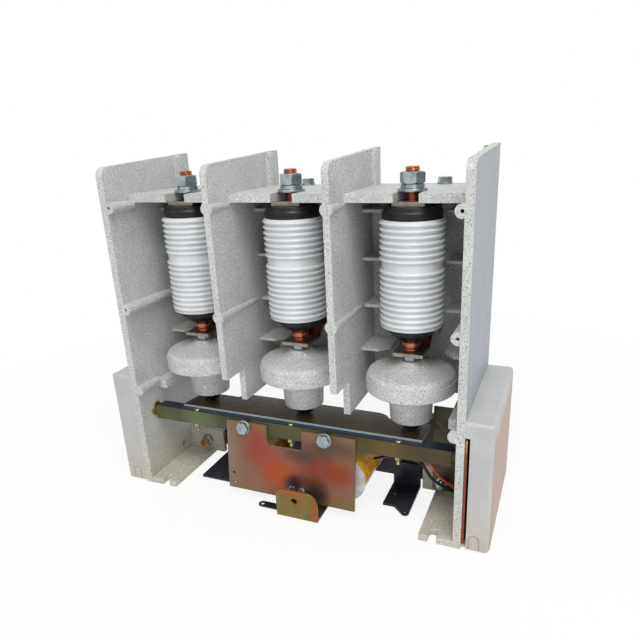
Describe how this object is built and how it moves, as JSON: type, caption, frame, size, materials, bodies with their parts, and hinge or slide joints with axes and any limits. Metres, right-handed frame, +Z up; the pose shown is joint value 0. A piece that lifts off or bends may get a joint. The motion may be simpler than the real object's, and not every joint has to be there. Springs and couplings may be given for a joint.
{
  "type": "vacuum contactor",
  "caption": "Open-frame vacuum contactor: ribbed ceramic interrupters in a moulded frame, lifted by mushroom insulators from a plate on a hinged shaft that a coil magnet pulls shut.",
  "frame": {"origin": "on the floor, under the middle of the whole object's box", "axes": "+X to the right along the row of poles, +Y to the back with the terminals, +Z up"},
  "size_m": [0.44, 0.1896, 0.38],
  "materials": {
    "moulding": "speckled moulded polyester, satin",
    "cover_plastic": "smooth pale grey, satin",
    "laminate": "red-brown laminate",
    "brass": "turned",
    "ceramic": "white glaze",
    "black_cap": "semi-gloss black",
    "copper": "turned copper",
    "dark_copper": "tarnished copper leaves",
    "tinned_copper": "tinned",
    "zinc": "bright zinc",
    "yellow_zinc": "yellow passivated zinc with colour bloom",
    "dark_steel": "blue-black",
    "coil_tape": "yellow winding tape, glossy",
    "coil_flange": "off-white",
    "lead_insulation": "coloured lead insulation, satin",
    "switch_plastic": "black moulded, satin"
  },
  "bodies": {
    "frame": {"left_side_wall": "moulding", "right_side_wall": "moulding", "left_phase_barrier": "moulding", "right_phase_barrier": "moulding", "back_wall": "moulding", "back_wall_ribs": "moulding", "top_shelves": "moulding", "left_foot_rail": "moulding", "right_foot_rail": "moulding", "left_side_cover": "cover_plastic", "right_side_cover": "cover_plastic", "terminal_boards": "laminate", "board_strips": "brass", "shaft_bushes": "brass", "ceramic_left": "ceramic", "ceramic_middle": "ceramic", "ceramic_right": "ceramic", "upper_end_caps": "black_cap", "lower_end_caps": "black_cap", "fixed_studs": "copper", "stud_nuts": "zinc", "shelf_bolts": "zinc", "upper_terminals": "tinned_copper", "lower_terminals": "tinned_copper", "flexible_link_left": "dark_copper", "flexible_link_middle": "dark_copper", "flexible_link_right": "dark_copper", "magnet_yoke": "dark_steel", "coils": "coil_tape", "coil_flanges": "coil_flange", "pole_cores": "dark_steel", "coil_leads": "lead_insulation", "base_plates": "dark_steel", "yoke_bolts": "zinc", "switch_bracket": "yellow_zinc", "auxiliary_switch": "switch_plastic", "stop_bracket": "yellow_zinc", "latch_strip": "dark_steel"},
    "armature": {"main_shaft": "yellow_zinc", "lift_plate": "yellow_zinc", "armature_plate": "yellow_zinc", "armature_bolts": "zinc", "shaft_screws": "zinc"},
    "drive_left": {"moving_stem_left": "copper", "drive_insulator_left": "moulding", "drive_bolt_left": "zinc"},
    "drive_middle": {"moving_stem_middle": "copper", "drive_insulator_middle": "moulding", "drive_bolt_middle": "zinc"},
    "drive_right": {"moving_stem_right": "copper", "drive_insulator_right": "moulding", "drive_bolt_right": "zinc"}
  },
  "joints": [
    {"name": "armature_swing", "type": "hinge", "parent": "frame", "child": "armature", "pos_m": [0, -0.05725, 0.088], "axis": [1, 0, 0], "range_deg": [0, 6]},
    {"name": "left_contact_lift", "type": "slide", "parent": "frame", "child": "drive_left", "axis": [0, 0, 1], "range_m": [0, 0.00353], "deforming": ["flexible_link_left"]},
    {"name": "middle_contact_lift", "type": "slide", "parent": "frame", "child": "drive_middle", "axis": [0, 0, 1], "range_m": [0, 0.00353], "deforming": ["flexible_link_middle"]},
    {"name": "right_contact_lift", "type": "slide", "parent": "frame", "child": "drive_right", "axis": [0, 0, 1], "range_m": [0, 0.00353], "deforming": ["flexible_link_right"]}
  ],
  "couplings": [
    {"joint": "left_contact_lift", "follows": "armature_swing", "m_per_rad": 0.0337},
    {"joint": "middle_contact_lift", "follows": "armature_swing", "m_per_rad": 0.0337},
    {"joint": "right_contact_lift", "follows": "armature_swing", "m_per_rad": 0.0337}
  ]
}
